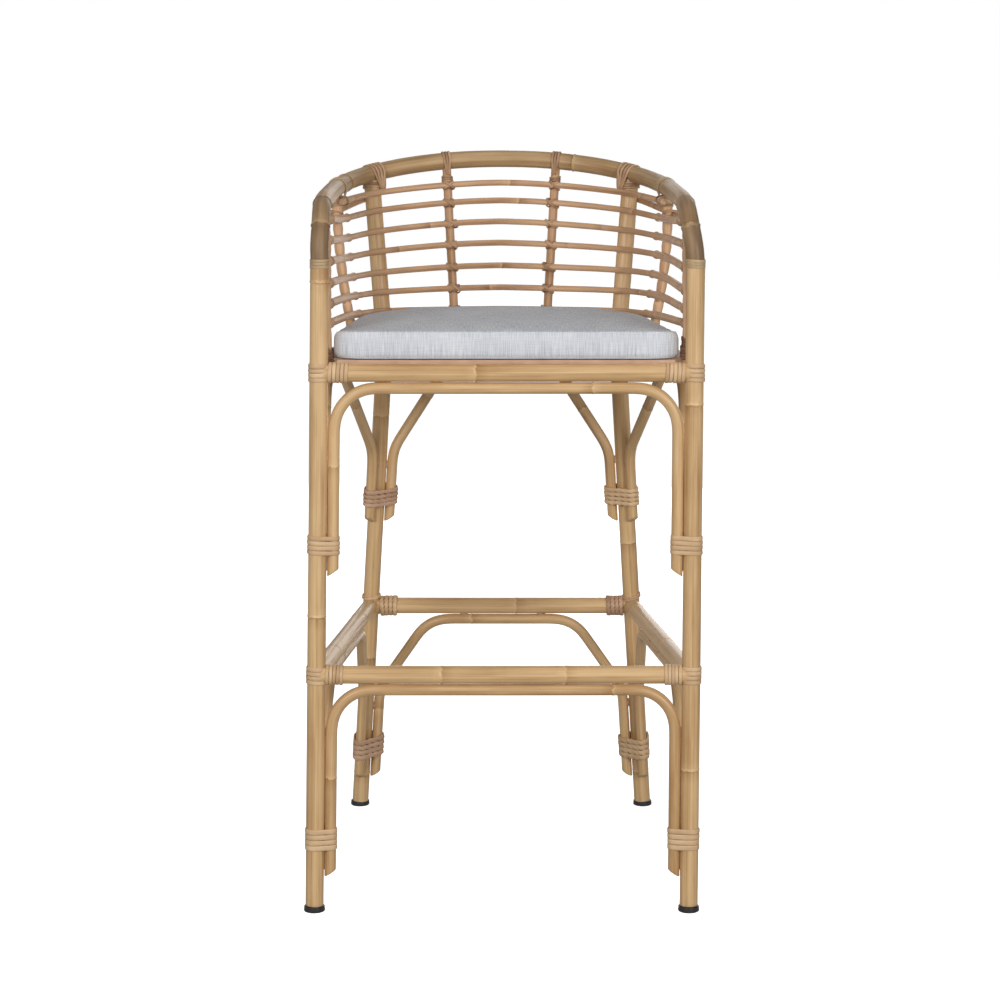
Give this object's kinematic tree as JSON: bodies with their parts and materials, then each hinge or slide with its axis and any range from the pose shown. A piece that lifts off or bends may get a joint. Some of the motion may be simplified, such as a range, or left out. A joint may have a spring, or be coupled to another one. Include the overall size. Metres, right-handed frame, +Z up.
{
  "type": "bar stool with footrest",
  "caption": "Rattan bar stool with a wrap-around reed back, footrest rails braced by bent bows, cane-bound joints and a loose seat cushion.",
  "frame": {"origin": "middle of the stool's footprint, on the floor", "axes": "+Z up, front of the stool towards -Y, +X to the right as seen from the front"},
  "size_m": [0.5487, 0.5819, 1.0347],
  "materials": {
    "pole": "clear-lacquered honey rattan pole",
    "bow": "clear-lacquered thin rattan pole",
    "rim": "steam-bent rattan pole, pinkish brown with scorch marks",
    "reed": "thin satin rattan reed",
    "binding": "flat cane strip, satin",
    "panel": "plain flat board",
    "cushion": "light grey slub weave",
    "glide": "black moulded foot glide"
  },
  "bodies": {
    "stool_frame": {"front_leg_left": "pole", "front_leg_right": "pole", "rear_leg_left": "pole", "rear_leg_right": "pole", "rim": "rim", "seat_rail_front": "pole", "seat_rail_back": "pole", "seat_rail_left": "pole", "seat_rail_right": "pole", "seat_bow_front": "bow", "seat_bow_back": "bow", "seat_bow_left": "bow", "seat_bow_right": "bow", "seat_bow_binding_front_left": "binding", "seat_bow_binding_front_right": "binding", "seat_bow_binding_back_left": "binding", "seat_bow_binding_back_right": "binding", "seat_joint_binding_left": "binding", "seat_joint_binding_right": "binding", "seat_rail_binding_left": "binding", "seat_rail_binding_right": "binding", "foot_rail_front": "pole", "foot_rail_back": "pole", "foot_rail_left": "pole", "foot_rail_right": "pole", "foot_bow_front": "bow", "foot_bow_back": "bow", "foot_bow_left": "bow", "foot_bow_right": "bow", "foot_bow_binding_front_left": "binding", "foot_bow_binding_front_right": "binding", "foot_bow_binding_back_left": "binding", "foot_bow_binding_back_right": "binding", "foot_joint_binding_left": "binding", "foot_joint_binding_right": "binding", "foot_rail_binding_left": "binding", "foot_rail_binding_right": "binding", "arm_binding_left": "binding", "arm_binding_right": "binding", "back_reed_1": "reed", "back_reed_2": "reed", "back_reed_3": "reed", "back_reed_4": "reed", "back_reed_5": "reed", "back_reed_6": "reed", "back_reed_7": "reed", "outer_reed_left": "reed", "outer_reed_right": "reed", "back_post_left": "reed", "back_post_right": "reed", "side_post_left": "reed", "side_post_right": "reed", "front_post_left": "reed", "front_post_right": "reed", "glide_front_left": "glide", "glide_front_right": "glide", "glide_back_left": "glide", "glide_back_right": "glide", "seat_panel": "panel"},
    "cushion": {"seat_cushion": "cushion"}
  },
  "joints": [
    {"name": "cushion_lift", "type": "slide", "parent": "stool_frame", "child": "cushion", "axis": [0, 0, 1], "range_m": [0, 0.3]}
  ]
}
